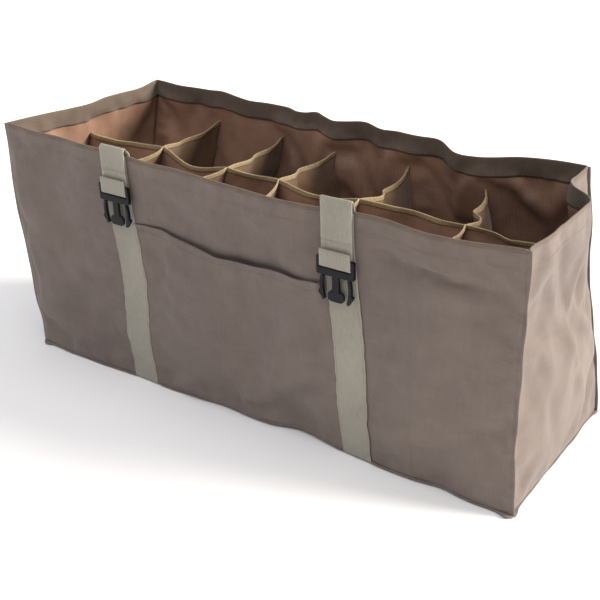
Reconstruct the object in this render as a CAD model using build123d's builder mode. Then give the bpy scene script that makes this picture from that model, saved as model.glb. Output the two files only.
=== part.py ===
"""Slotted decoy bag: an open-topped fabric box with twelve slots, two webbing straps and side-release buckles.

Millimetres, +Z up. The origin is the middle of the footprint, at the underside of the straps that pass under
the bag. +X runs along the length, and -Y is the front, the side with the pocket.
"""

import os

from build123d import *

# ---------------------------------------------------------------- driving sizes

# bag
length = 914.0            # over the side seams
depth = 305.0             # over the front and back panels
height = 406.0            # ground to rim
fabric = 1.0              # coated cloth
seam_welt = 3.0           # turned seam allowance that stands out of the corners
hem_height = 30.0
hem_thickness = 1.2       # the turned-in layers of the hem
columns = 6               # slots along the length, in two rows
divider_below_rim = 56.0  # from the rim down to the dividers' top edge
tape_height = 10.0        # binding tape down each side of a divider
tape_thickness = 0.8

# front pocket
pocket_below_rim = 121.0
pocket_bow = 12.0         # how far the middle of the pocket's mouth stands off the panel
pocket_flange = 15.0      # side allowance sewn under each strap
pocket_binding_height = 12.0
binding_gap = 0.05        # keeps the binding's ruled surface clear of the pocket's

# webbing
webbing_width = 50.0
webbing_thickness = 1.8
webbing_clearance = 0.5   # webbing's edge to a side post
strap_offset = 205.0      # each strap's centre, left and right of the middle
strap_end_below_rim = 2.0
seam_gap = 0.5            # between a strap's edge and the cut ends of the bottom seam
anchor_length = 28.0      # webbing sewn down at the start of each tail
back_tail_drop = 42.0     # how far below the front tails' fold the back tails fold, on the outside
crest_radius = 5.9        # webbing's middle line where it turns over the rim
fold_clearance = 0.3      # between the two sides of a webbing fold
fold_end_gap = 2.5        # from a folded-back webbing end to the fold line above it

# side-release buckle
buckle_post = 4.5         # side posts of the webbing window
buckle_frame_thickness = 6.0
bar_radius = 1.8
bar_clearance = 0.2       # bar to webbing
male_length = 66.0
male_frame_height = 28.0
male_end_bar = 6.0
male_bar_drop = 5.0       # from the end bar down to the round bar
male_window_gap = 0.9     # under the webbing's turn round the bar
male_fold_end = 10.0      # how far the webbing's free end stands above the frame
guide_width = 11.0
guide_thickness = 4.0
paddle_gap = 8.5          # from a prong's middle line to the paddle's side
paddle_height = 15.0
prong_width = 4.6
prong_thickness = 5.0
prong_inset = 8.5         # from the frame's side to the middle line of a prong's root
prong_bulge = 1.5         # how far the prong bows outward
catch_width = 4.7         # how far the catch stands out from the prong's middle line
catch_shoulder = 14.0     # from the prong's tip to the catch's shoulder
prong_clearance = 0.3
female_length = 46.0
female_neck = 12.0        # side posts beyond the housing
female_bar_place = 8.0    # from the housing to the bar
female_thickness = 12.4
female_fold_back = 30.0   # webbing sewn back above the bar
socket_clearance = 0.45
socket_height = 8.0
window_clearance = 0.5
left_male_hang = 118.0    # from the rim down to each buckle's lower end
right_male_hang = 143.0
left_tail_shift = -12.0   # sideways, from the body strap's middle to the front tail's
right_tail_shift = -20.0
female_hang = 148.0

# ---------------------------------------------------------------- derived places

half_length = length / 2 - seam_welt
half_depth = depth / 2
floor_bottom = webbing_thickness
floor_top = floor_bottom + fabric
inner_x = half_length - fabric
inner_y = half_depth - fabric
hem_bottom = height - hem_height
column_pitch = 2 * inner_x / columns
divider_places = [column_pitch * (k - columns / 2) for k in range(1, columns)]
tape_outer = fabric / 2 + tape_thickness
divider_top = height - divider_below_rim
pocket_top = height - pocket_below_rim

strap_in = strap_offset - webbing_width / 2
strap_out = strap_offset + webbing_width / 2
hem_face = inner_y - hem_thickness                     # inner face of the front and back hems
crest_y = hem_face - webbing_thickness / 2 + crest_radius
fold_radius = webbing_thickness / 2
tail_radius = crest_radius + webbing_thickness + fold_clearance
front_tail_z = height                                  # where a tail's turn begins, below its hinge line
back_tail_z = height - back_tail_drop
tail_y = crest_y + tail_radius                         # middle line and hinge line of a hanging tail
bend_radius = bar_radius + bar_clearance + webbing_thickness / 2
bar_y = tail_y + bend_radius

window_width = webbing_width + 2 * webbing_clearance
buckle_width = window_width + 2 * buckle_post
male_window = male_bar_drop + 2 * bar_radius + bar_clearance + webbing_thickness + male_window_gap
prong_length = male_length - male_frame_height
prong_pivot_offset = buckle_width / 2 - prong_inset
paddle_width = 2 * (prong_pivot_offset - paddle_gap)
socket_width = 2 * (prong_pivot_offset + prong_bulge + prong_width / 2 + socket_clearance)
socket_depth = prong_length + 1.0

LEFT, RIGHT = -1, 1
FRONT, BACK = -1, 1

os.makedirs("parts", exist_ok=True)


def save(builder, label):
    """Label a finished piece and write it."""
    builder.part.label = label
    export_step(builder.part, f"parts/{label}.step")


def box_between(low, high, mode=Mode.ADD):
    """Add a box, inside the current part, between two corners."""
    centre = [(a + b) / 2 for a, b in zip(low, high)]
    size = [b - a for a, b in zip(low, high)]
    with Locations(tuple(centre)):
        Box(*size, mode=mode)


def side_plane(x, face):
    """Plane across the bag at x, whose own x runs outward through the front or back."""
    return Plane(origin=(x, 0, 0), x_dir=(0, face, 0), z_dir=(face, 0, 0))


def face_plane(x, face, outward):
    """Upright plane centred on x, whose normal points outward through the front or back."""
    return Plane(origin=(x, face * outward, 0), x_dir=(-face, 0, 0), z_dir=(0, face, 0))


# ---------------------------------------------------------------- panels

with BuildPart() as bottom_panel:
    box_between((-half_length, -half_depth, floor_bottom), (half_length, half_depth, floor_top))
save(bottom_panel, "bottom_panel")

for side, side_name in ((FRONT, "front"), (BACK, "back")):
    outer, inner = side * half_depth, side * inner_y
    with BuildPart() as long_panel:
        box_between((-half_length, min(outer, inner), floor_top), (half_length, max(outer, inner), height))
    save(long_panel, f"{side_name}_panel")

    outer, inner = side * inner_y, side * hem_face
    with BuildPart() as long_hem:
        box_between((-inner_x, min(outer, inner), hem_bottom), (inner_x, max(outer, inner), height))
    save(long_hem, f"{side_name}_hem")

for side, side_name in ((LEFT, "left"), (RIGHT, "right")):
    outer, inner = side * half_length, side * inner_x
    with BuildPart() as end_panel:
        box_between((min(outer, inner), -inner_y, floor_top), (max(outer, inner), inner_y, height))
    save(end_panel, f"{side_name}_end_panel")

    outer, inner = side * inner_x, side * (inner_x - hem_thickness)
    with BuildPart() as end_hem:
        box_between((min(outer, inner), -hem_face, hem_bottom), (max(outer, inner), hem_face, height))
    save(end_hem, f"{side_name}_end_hem")

# ---------------------------------------------------------------- turned seams

with BuildPart() as corner_seams:
    for side in (LEFT, RIGHT):
        for face in (FRONT, BACK):
            centre_x = side * (half_length + seam_welt / 2)
            centre_y = face * (half_depth - seam_welt / 2)
            with BuildSketch(Plane.XY.offset(floor_bottom)):
                with Locations((centre_x, centre_y)):
                    Rectangle(seam_welt, seam_welt)
            extrude(amount=height - floor_bottom)
save(corner_seams, "corner_seams")

seam_stretches = [
    (-half_length, -strap_out - seam_gap),
    (-strap_in + seam_gap, strap_in - seam_gap),
    (strap_out + seam_gap, half_length),
]
with BuildPart() as bottom_seams:
    for face in (FRONT, BACK):
        centre_y = face * (half_depth + seam_welt / 2)
        with BuildSketch(Plane.XY.offset(floor_bottom)):
            for x_low, x_high in seam_stretches:
                with Locations(((x_low + x_high) / 2, centre_y)):
                    Rectangle(x_high - x_low, seam_welt)
        extrude(amount=seam_welt)
    for side in (LEFT, RIGHT):
        with BuildSketch(Plane.XY.offset(floor_bottom)):
            with Locations((side * (half_length + seam_welt / 2), 0)):
                Rectangle(seam_welt, depth - 2 * seam_welt)
        extrude(amount=seam_welt)
save(bottom_seams, "bottom_seams")

# ---------------------------------------------------------------- dividers and their binding tape

with BuildPart() as center_divider:
    box_between((-inner_x, -fabric / 2, floor_top), (inner_x, fabric / 2, divider_top))
save(center_divider, "center_divider")

with BuildPart() as center_divider_tape:
    tape_low, tape_high = divider_top - tape_height, divider_top + tape_thickness
    box_between((-inner_x, -tape_outer, tape_low), (inner_x, tape_outer, tape_high))
    box_between((-inner_x, -fabric / 2, tape_low), (inner_x, fabric / 2, divider_top), Mode.SUBTRACT)
save(center_divider_tape, "center_divider_tape")

for face, row_name in ((FRONT, "front"), (BACK, "back")):
    wall_end, centre_end, tape_end = face * inner_y, face * fabric / 2, face * tape_outer
    for number, x in enumerate(divider_places, start=1):
        with BuildPart() as cross_divider:
            low_y, high_y = sorted((wall_end, centre_end))
            box_between((x - fabric / 2, low_y, floor_top), (x + fabric / 2, high_y, divider_top))
            low_y, high_y = sorted((tape_end, centre_end))
            box_between((x - fabric, low_y, tape_low), (x + fabric, high_y, tape_high), Mode.SUBTRACT)
        save(cross_divider, f"{row_name}_divider_{number}")

    with BuildPart() as cross_tapes:
        low_y, high_y = sorted((wall_end, tape_end))
        for x in divider_places:
            box_between((x - tape_outer, low_y, tape_low), (x + tape_outer, high_y, tape_high))
            box_between((x - fabric / 2, low_y, tape_low), (x + fabric / 2, high_y, divider_top), Mode.SUBTRACT)
    save(cross_tapes, f"{row_name}_divider_tapes")

# ---------------------------------------------------------------- front pocket

pocket_bottom = floor_bottom + seam_welt
pocket_rise = pocket_top - pocket_bottom


def bowed_strip(z, start, thickness):
    """Section, at height z, of a strip that bows away from the front panel between the straps."""
    bow = pocket_bow * (z - pocket_bottom) / pocket_rise
    back = -half_depth - start
    face = back - thickness
    with BuildSketch(Plane.XY.offset(z)) as strip:
        with BuildLine():
            ThreePointArc((-strap_in, back), (0, back - max(bow, fabric / 4)), (strap_in, back))
            Line((strap_in, back), (strap_in, face))
            ThreePointArc((strap_in, face), (0, face - max(bow, fabric / 4)), (-strap_in, face))
            Line((-strap_in, face), (-strap_in, back))
        make_face()
    return strip.sketch


with BuildPart() as pocket_panel:
    loft([bowed_strip(z, 0, fabric) for z in (pocket_bottom, pocket_top)], ruled=True)
    for side in (LEFT, RIGHT):
        low_x, high_x = sorted((side * strap_in, side * (strap_in + pocket_flange)))
        box_between((low_x, -half_depth - fabric, pocket_bottom), (high_x, -half_depth, pocket_top))
save(pocket_panel, "pocket_panel")

with BuildPart() as pocket_binding:
    binding_low = pocket_top - pocket_binding_height
    binding_start = fabric + binding_gap
    loft([bowed_strip(z, binding_start, tape_thickness) for z in (binding_low, pocket_top)], ruled=True)
save(pocket_binding, "pocket_binding")

# ---------------------------------------------------------------- body straps

strap_top = height - strap_end_below_rim
step_low = pocket_top + fabric                        # the strap steps out over the pocket's side allowance
step_high = step_low + 8 * fabric
pocket_face = half_depth + fabric

for side, side_name in ((LEFT, "left"), (RIGHT, "right")):
    with BuildPart() as body_strap:
        with BuildSketch(side_plane(side * strap_offset, BACK)):
            with BuildLine():
                Polyline(
                    (-half_depth, strap_top),
                    (-half_depth, step_high),
                    (-pocket_face, step_low),
                    (-pocket_face, floor_bottom),
                    (half_depth, floor_bottom),
                    (half_depth, strap_top),
                    (half_depth + webbing_thickness, strap_top),
                    (half_depth + webbing_thickness, floor_bottom),
                )
                CenterArc((half_depth, floor_bottom), webbing_thickness, 0, -90)
                Line((half_depth, 0), (-pocket_face, 0))
                CenterArc((-pocket_face, floor_bottom), webbing_thickness, 270, -90)
                Polyline(
                    (-pocket_face - webbing_thickness, floor_bottom),
                    (-pocket_face - webbing_thickness, step_low),
                    (-half_depth - webbing_thickness, step_high),
                    (-half_depth - webbing_thickness, strap_top),
                    (-half_depth, strap_top),
                )
            make_face()
        extrude(amount=webbing_width / 2, both=True)
    save(body_strap, f"{side_name}_body_strap")

# ---------------------------------------------------------------- webbing tails
# Each profile is drawn outward from the middle of the bag, and upward.


def front_anchor(name, x):
    """Webbing sewn to the inside of the hem, up to the crest of its turn over the rim."""
    with BuildPart() as anchor:
        with BuildSketch(side_plane(x, FRONT)):
            with Locations((hem_face - fold_radius, front_tail_z - anchor_length / 2)):
                Rectangle(webbing_thickness, anchor_length)
            with BuildLine():
                CenterArc((crest_y, front_tail_z), crest_radius, 90, 90)
            trace(line_width=webbing_thickness)
        extrude(amount=webbing_width / 2, both=True)
    save(anchor, name)


def back_anchor(name, x):
    """Webbing sewn over the body strap's end on the outside of the back, up to the tail's fold."""
    top = back_tail_z + tail_radius - fold_radius - fold_clearance
    low = back_tail_z - anchor_length
    with BuildPart() as anchor:
        with BuildSketch(side_plane(x, BACK)):
            with Locations((half_depth + 1.5 * webbing_thickness, (top + low) / 2)):
                Rectangle(webbing_thickness, top - low)
        extrude(amount=webbing_width / 2, both=True)
    save(anchor, name)


def tail_upper(name, x, face, turn_z, hinge_z):
    """Webbing from its first fold, over a turn that begins at turn_z, down to the fold above the buckle."""
    low_end = hinge_z + fold_radius + fold_clearance
    with BuildPart() as upper:
        with BuildSketch(side_plane(x, face)):
            with Locations((tail_y, (turn_z + low_end) / 2)):
                Rectangle(webbing_thickness, turn_z - low_end)
            with BuildLine():
                CenterArc((crest_y, turn_z), tail_radius, 0, 90)
            trace(line_width=webbing_thickness)
            with Locations((crest_y, turn_z + tail_radius)):
                Circle(fold_radius)
        extrude(amount=webbing_width / 2, both=True)
    save(upper, name)


def tail_lower(name, x, face, hinge_z, bar_z, fold_end_z):
    """Webbing from its fold down behind the buckle, round the bar and back up in front."""
    return_y = bar_y + bend_radius
    with BuildPart() as lower:
        with BuildSketch(side_plane(x, face)):
            with Locations((tail_y, (hinge_z + bar_z) / 2)):
                Rectangle(webbing_thickness, hinge_z - bar_z)
            with Locations((tail_y, hinge_z)):
                Circle(fold_radius)
            with Locations((return_y, (fold_end_z + bar_z) / 2)):
                Rectangle(webbing_thickness, fold_end_z - bar_z)
            with BuildLine():
                CenterArc((bar_y, bar_z), bend_radius, 180, 180)
            trace(line_width=webbing_thickness)
        extrude(amount=webbing_width / 2, both=True)
    save(lower, name)


# ---------------------------------------------------------------- buckle halves


def round_bar(x, face, bar_z):
    """Add the bar that the webbing goes round, let into both side posts."""
    with BuildSketch(side_plane(x, face)) as section:
        with Locations((bar_y, bar_z)):
            Circle(bar_radius)
    extrude(section.sketch, amount=window_width / 2 + bar_radius / 2, both=True)


def male_buckle(name, x, face, tip_z, bar_z):
    """Frame with a webbing window, and the centre guide that ends in a rounded paddle."""
    top = tip_z + male_length
    frame_low = tip_z + prong_length
    half_frame = buckle_frame_thickness / 2
    with BuildPart() as male:
        with BuildSketch(face_plane(x, face, bar_y - half_frame)):
            with Locations((0, top - male_frame_height / 2)):
                RectangleRounded(buckle_width, male_frame_height, 3.0)
            with Locations((0, top - male_end_bar - male_window / 2)):
                Rectangle(window_width, male_window, mode=Mode.SUBTRACT)
        extrude(amount=buckle_frame_thickness)
        fillet(male.faces().filter_by(Axis.Y).edges(), 0.7)
        with BuildSketch(face_plane(x, face, bar_y - guide_thickness / 2)):
            with Locations((0, (frame_low + tip_z) / 2 + paddle_height / 3)):
                Rectangle(guide_width, prong_length)
            with Locations((0, tip_z + paddle_height / 2)):
                RectangleRounded(paddle_width, paddle_height, 6.0)
        extrude(amount=guide_thickness)
        # The end bar is thinner than the posts, so that webbing passes on both sides of it.
        for start, reach in ((bar_y + bar_radius, half_frame), (bar_y - bar_radius, -half_frame)):
            with BuildSketch(face_plane(x, face, start)):
                with Locations((0, top - male_end_bar / 2)):
                    Rectangle(window_width, male_end_bar + 2)
            extrude(amount=reach, mode=Mode.SUBTRACT)
        round_bar(x, face, bar_z)
    save(male, name)


def male_prong(name, x, face, outward, tip_z):
    """Springy side prong with its catch; outward is the way it bows, along X."""
    root_z = tip_z + prong_length - prong_clearance - prong_width / 2
    way = -face * outward
    root = (way * prong_pivot_offset, root_z)
    middle = (way * (prong_pivot_offset + prong_bulge), (root_z + tip_z) / 2)
    tip = (way * (prong_pivot_offset - prong_bulge), tip_z + prong_width / 2)
    catch_x = prong_pivot_offset + prong_bulge + catch_width
    shoulder_z = tip_z + catch_shoulder
    with BuildPart() as prong:
        with BuildSketch(face_plane(x, face, bar_y - prong_thickness / 2)):
            with BuildLine():
                ThreePointArc(root, middle, tip)
            trace(line_width=prong_width)
            with Locations(root, tip):
                Circle(prong_width / 2)
            with BuildLine():
                Polyline(
                    (way * prong_pivot_offset, shoulder_z),
                    (way * (catch_x - 1), shoulder_z),
                    (way * catch_x, shoulder_z - 1.5),
                    (way * catch_x, shoulder_z - 4),
                    (way * prong_pivot_offset, tip_z + 1.5),
                    close=True,
                )
            make_face()
        extrude(amount=prong_thickness)
    save(prong, name)


def female_buckle(name, x, face, mouth_z, bar_z):
    """Housing with a socket that opens downward, and a webbing bar between two posts at its top."""
    housing_top = mouth_z + female_length
    catch_low = mouth_z + prong_length - catch_shoulder - window_clearance
    catch_high = mouth_z + prong_length
    with BuildPart() as female:
        with BuildSketch(face_plane(x, face, bar_y - female_thickness / 2)):
            with Locations((0, mouth_z + female_length / 2)):
                RectangleRounded(buckle_width, female_length, 5.0)
        extrude(amount=female_thickness)
        fillet(female.faces().filter_by(Axis.Y).edges(), 2.2)
        with BuildSketch(face_plane(x, face, bar_y - buckle_frame_thickness / 2)):
            with Locations((0, housing_top + female_neck / 2 - 3)):
                RectangleRounded(buckle_width, female_neck + 6, 2.5)
            with Locations((0, housing_top + female_neck)):
                Rectangle(window_width, 2 * female_neck, mode=Mode.SUBTRACT)
        extrude(amount=buckle_frame_thickness)
        with BuildSketch(Plane.XY.offset(mouth_z)):
            with Locations((x, face * bar_y)):
                Rectangle(socket_width, socket_height)
        extrude(amount=socket_depth, mode=Mode.SUBTRACT)
        with BuildSketch(side_plane(x, face)):
            with Locations((bar_y, (catch_low + catch_high) / 2)):
                Rectangle(socket_height, catch_high - catch_low)
        extrude(amount=buckle_width, both=True, mode=Mode.SUBTRACT)
        round_bar(x, face, bar_z)
    save(female, name)


mouth_z = height - female_hang
for side, side_name, hang, tail_shift in (
    (LEFT, "left", left_male_hang, left_tail_shift),
    (RIGHT, "right", right_male_hang, right_tail_shift),
):
    x = side * strap_offset + tail_shift

    tip_z = height - hang
    frame_top = tip_z + male_length
    bar_z = frame_top - male_end_bar - male_bar_drop - bar_radius
    fold_end_z = frame_top + male_fold_end
    hinge_z = fold_end_z + fold_end_gap
    front_anchor(f"{side_name}_front_tail_anchor", x)
    tail_upper(f"{side_name}_front_tail", x, FRONT, front_tail_z, hinge_z)
    tail_lower(f"{side_name}_front_tail_loop", x, FRONT, hinge_z, bar_z, fold_end_z)
    male_buckle(f"{side_name}_male_buckle", x, FRONT, tip_z, bar_z)
    for outward, prong_name in ((LEFT, "left"), (RIGHT, "right")):
        male_prong(f"{side_name}_male_{prong_name}_prong", x, FRONT, outward, tip_z)

    x = side * strap_offset
    bar_z = mouth_z + female_length + female_bar_place
    fold_end_z = bar_z + female_fold_back
    hinge_z = fold_end_z + fold_end_gap
    back_anchor(f"{side_name}_back_tail_anchor", x)
    tail_upper(f"{side_name}_back_tail", x, BACK, back_tail_z, hinge_z)
    tail_lower(f"{side_name}_back_tail_loop", x, BACK, hinge_z, bar_z, fold_end_z)
    female_buckle(f"{side_name}_female_buckle", x, BACK, mouth_z, bar_z)
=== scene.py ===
"""Looks of the slotted decoy bag: soft fabric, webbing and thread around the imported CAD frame.

Shapes are worked out in millimetres on the CAD's own straight box, then the drape moves them to where slack
cloth hangs. Blender gets them in metres.
"""

import math

import bpy
import numpy as np
from mathutils import Matrix, Vector


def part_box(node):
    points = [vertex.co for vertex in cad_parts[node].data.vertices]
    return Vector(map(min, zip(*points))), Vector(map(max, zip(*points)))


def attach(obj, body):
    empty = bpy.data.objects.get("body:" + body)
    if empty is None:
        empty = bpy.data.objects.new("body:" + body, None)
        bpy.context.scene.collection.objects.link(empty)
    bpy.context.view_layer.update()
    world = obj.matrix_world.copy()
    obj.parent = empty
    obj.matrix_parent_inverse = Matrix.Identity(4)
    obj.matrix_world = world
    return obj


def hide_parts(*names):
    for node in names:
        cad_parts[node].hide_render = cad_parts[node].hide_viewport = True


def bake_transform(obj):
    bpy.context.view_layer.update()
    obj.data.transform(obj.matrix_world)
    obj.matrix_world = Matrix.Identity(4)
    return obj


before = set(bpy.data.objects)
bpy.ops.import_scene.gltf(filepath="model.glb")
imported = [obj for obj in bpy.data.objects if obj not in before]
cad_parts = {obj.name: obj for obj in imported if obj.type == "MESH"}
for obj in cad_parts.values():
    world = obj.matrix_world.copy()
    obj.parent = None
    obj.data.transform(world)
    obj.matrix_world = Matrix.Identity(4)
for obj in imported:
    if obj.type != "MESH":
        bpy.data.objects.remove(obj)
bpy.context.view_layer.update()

MM = 0.001
bpy.context.scene.view_settings.view_transform = "Standard"


def node_box(name):
    """Lowest and highest corner of a CAD node, in millimetres."""
    low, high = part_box(name)
    return np.array(low) / MM, np.array(high) / MM


def in_scene(name, data):
    """An object made from a mesh, light or camera, linked to the scene."""
    made = bpy.data.objects.new(name, data)
    bpy.context.scene.collection.objects.link(made)
    return made


# ---------------------------------------------------------------- places read from the CAD frame

front_low, front_high = node_box("front_panel")
HALF_X = front_high[0]
HALF_Y = -front_low[1]
RIM = front_high[2]
FLOOR = front_low[2]
CLOTH = front_high[1] - front_low[1]
INNER_X = HALF_X - CLOTH
INNER_Y = HALF_Y - CLOTH
hem_low, hem_high = node_box("front_hem")
HEM_LOW = hem_low[2]
HEM_Y = -hem_high[1]
HEM_X = node_box("right_end_hem")[0][0]
DIVIDER_TOP = node_box("center_divider")[1][2]
TAPE_LOW = node_box("center_divider_tape")[0][2]
TAPE_HALF = node_box("center_divider_tape")[1][1]
strap_low, strap_high = node_box("right_body_strap")
STRAP_IN, STRAP_OUT, STRAP_TOP = strap_low[0], strap_high[0], strap_high[2]
STRAP_X = (STRAP_IN + STRAP_OUT) / 2
pocket_low, pocket_high = node_box("pocket_panel")
POCKET_LOW, POCKET_TOP, POCKET_HALF = pocket_low[2], pocket_high[2], pocket_high[0]
SEAM_X = node_box("corner_seams")[1][0]
WEBBING = round(node_box("bottom_panel")[0][2], 3)
WEBBING_WIDTH = round(STRAP_OUT - STRAP_IN, 3)
DIVIDERS = [sum(node_box(f"front_divider_{k}")[j][0] for j in (0, 1)) / 2 for k in range(1, 6)]


# ---------------------------------------------------------------- curves and the drape


def curve(x, knots):
    """Smooth curve through (place, value) knots, level beyond its ends."""
    at = np.array([k[0] for k in knots], float)
    value = np.array([k[1] for k in knots], float)
    slope = np.gradient(value, at)
    slope[[0, -1]] = 0.0
    x = np.clip(np.asarray(x, float), at[0], at[-1])
    i = np.clip(np.searchsorted(at, x, side="right") - 1, 0, len(at) - 2)
    step = at[i + 1] - at[i]
    t = (x - at[i]) / step
    return (
        value[i] * (1 + 2 * t) * (1 - t) ** 2
        + slope[i] * step * t * (1 - t) ** 2
        + value[i + 1] * t * t * (3 - 2 * t)
        + slope[i + 1] * step * t * t * (t - 1)
    )


def smooth(x, low, high):
    """0 below low, 1 above high, and a smooth rise between them."""
    t = np.clip((x - low) / (high - low), 0, 1)
    return t * t * (3 - 2 * t)


def bump(x, middle, width):
    """1 at the middle, fading to nothing about two widths away."""
    return np.exp(-(((x - middle) / width) ** 2))


def ridge(a, b, start, end, width, height):
    """A soft fold that runs from start to end on a face with coordinates a and b."""
    start, end = np.array(start, float), np.array(end, float)
    run = end - start
    length = np.hypot(*run)
    along = ((a - start[0]) * run[0] + (b - start[1]) * run[1]) / length
    across = ((a - start[0]) * run[1] - (b - start[1]) * run[0]) / length
    fade = smooth(along, -0.25 * length, 0.2 * length) * (1 - smooth(along, 0.7 * length, 1.25 * length))
    return height * fade * np.exp(-((across / width) ** 2))


STEP = 10.0
grid_x = np.linspace(-HALF_X, HALF_X, int(2 * HALF_X / STEP) + 1)
grid_y = np.linspace(-HALF_Y, HALF_Y, int(2 * HALF_Y / STEP) + 1)
grid_z = np.linspace(0, RIM, int(RIM / STEP) + 1)


def corner_moves(z):
    """How far each upright corner leans away from the CAD box at height z."""
    zero = np.zeros_like(z)
    left_x = curve(z, [(0, 2), (50, 2), (82, -3), (144, -7), (234, -12), (291, -15), (349, -13), (406, -9)])
    front_right_y = curve(z, [(0, 0), (200, -2), (330, -5), (406, -9)])
    right_x = curve(z, [(0, -3), (120, -6), (240, -5), (330, -2), (406, -1)])
    back_left_x = curve(z, [(0, 0), (150, 5), (300, 17), (406, 31)])
    back_x = curve(
        z, [(0, -1), (86, -9), (140, -19), (200, -28), (250, -33), (300, -33), (344, -36), (406, -42)]
    )
    return {
        "front_left": np.stack([left_x, zero, curve(z, [(300, 0), (406, 3)])], -1),
        "front_right": np.stack([right_x, front_right_y, curve(z, [(300, 0), (406, -4)])], -1),
        "back_left": np.stack([back_left_x, curve(z, [(0, 0), (200, 4), (406, 16)]), zero], -1),
        "back_right": np.stack([back_x, curve(z, [(0, 0), (200, -6), (406, -25)]), zero], -1),
    }


def front_moves(x, z):
    """Sag and bulge of the front, between its corners."""
    high = smooth(z, 250, RIM)
    low = 1 - smooth(z, 0, 120)
    rim_y = curve(
        x,
        [(-454, 0), (-358, -1), (-253, -3), (-205, -3), (-150, -7), (-77, -5), (20, -8), (100, -12)]
        + [(128, -10), (156, -4), (185, -3), (212, -3), (234, -3), (319, -8), (386, -6), (454, 0)],
    )
    rim_z = curve(
        x,
        [(-454, 0), (-358, -2), (-253, -4), (-205, -4), (-163, -7), (-77, -6), (20, -9), (112, -12)]
        + [(167, -12), (205, -8), (240, -6), (319, -6), (386, -5), (454, 0)],
    )
    foot = curve(
        x,
        [(-454, -10), (-402, -16), (-365, -13), (-331, -8), (-295, -5), (-228, 2), (-154, 0), (-90, 5)]
        + [(-27, 9), (8, 5), (50, 9), (100, 24), (155, 12), (214, 6), (298, 1), (345, 10)]
        + [(402, -4), (454, 1)],
    )
    side = (1 - (x / HALF_X) ** 4)
    y = rim_y * high + 0.55 * foot * low * side
    y = y - 3.0 * np.sin(np.pi * np.clip(z / RIM, 0, 1)) * side * (1 - 0.8 * bump(np.abs(x), STRAP_X, 60))
    for place, width, height in (
        (-395, 26, -3.0), (-330, 30, 2.0), (-272, 24, -1.8), (-130, 34, 1.6), (-40, 40, -1.6),
        (60, 36, 1.6), (130, 30, -1.8), (262, 22, 1.8), (318, 34, -2.6), (385, 28, 2.0),
    ):
        y = y + height * bump(x, place + 10 * np.sin(z / 70.0 + place), width) * smooth(z, 40, 160)
    for start, end, width, height in (
        ((250, 352), (420, 330), 12, 4.0), ((240, 300), (400, 318), 16, -3.0),
        ((270, 60), (440, 180), 22, -3.5), ((-440, 70), (-300, 200), 26, -3.0),
        ((-436, 380), (-428, 90), 9, -3.2), ((40, 30), (150, 110), 16, 3.0),
        ((-120, 24), (-30, 90), 18, -2.6),
    ):
        y = y + ridge(x, z, start, end, width, height)
    lift = 0.24 * np.maximum(foot, 0) * low * side
    return np.stack([np.zeros_like(x), y, rim_z * high + lift], -1)


def back_moves(x, z):
    """Scalloped back rim, with the dividers' seams pulled towards the front."""
    high = smooth(z, 180, RIM)
    drop = curve(
        x,
        [(-454, 0), (-397, -4), (-363, 0), (-330, 3), (-297, 8), (-266, 2), (-236, -5), (-175, -3)]
        + [(-140, -3), (-117, -7), (-89, -6), (-60, -1), (-33, -6), (-6, -10), (21, -7), (60, -1)]
        + [(98, -8), (130, -6), (160, -7), (196, -12), (219, -18), (250, -24), (288, -23), (320, -18)]
        + [(353, -10), (394, -4), (454, 0)],
    )
    keep = 1 - 0.95 * bump(np.abs(x), STRAP_X, 30)
    y = 0.95 * drop * high * keep
    z_move = 0.55 * drop * smooth(z, 250, RIM) * (1 - 0.4 * bump(np.abs(x), STRAP_X, 30))
    for place in DIVIDERS:
        y = y - 4.5 * bump(x, place, 16) * smooth(z, 60, 300) * (1 - 0.7 * smooth(z, 372, RIM))
    middles = [(a + b) / 2 for a, b in zip([-INNER_X] + DIVIDERS, DIVIDERS + [INNER_X])]
    for k, place in enumerate(middles):
        belly = (2.6 + math.sin(2.1 * k)) * bump(x, place, 44)
        y = y + belly * np.sin(np.pi * np.clip(z / RIM, 0, 1))
        y = y + ridge(x, z, (place - 40, 350), (place + 30, 230), 11, 2.6)
        y = y + ridge(x, z, (place + 45, 372), (place - 5, 268), 9, -2.2)
    behind_buckle = bump(np.abs(x), STRAP_X, 42) ** 0.5
    y = np.where(y > 3.0, 3.0 + (y - 3.0) * (1 - behind_buckle), y)
    x_move = curve(x, [(-454, 0), (-302, 22), (-151, 22), (0, -7), (151, -10), (302, -12), (454, 0)])
    side = 1 - (x / HALF_X) ** 6
    return np.stack([x_move * high, y * side, z_move * side], -1)


def left_moves(y, z):
    """Left end: bowed in a little at the rim, and fuller half way up."""
    side = np.cos(0.5 * np.pi * y / HALF_Y)
    high = smooth(z, 230, RIM)
    x = side * (9 * high - 6 * np.sin(np.pi * np.clip(z / RIM, 0, 1)))
    for start, end, width, height in (
        ((-90, 380), (-20, 180), 16, 4.0), ((110, 390), (30, 210), 14, -4.0), ((-60, 60), (60, 170), 24, 4.0),
    ):
        x = x + side * ridge(y, z, start, end, width, height)
    z_move = curve(y, [(-152, 0), (-90, -1), (-34, -4), (0, -5), (33, -2), (68, -3), (110, -5), (152, 0)])
    return np.stack([x, np.zeros_like(x), z_move * high], -1)


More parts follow.
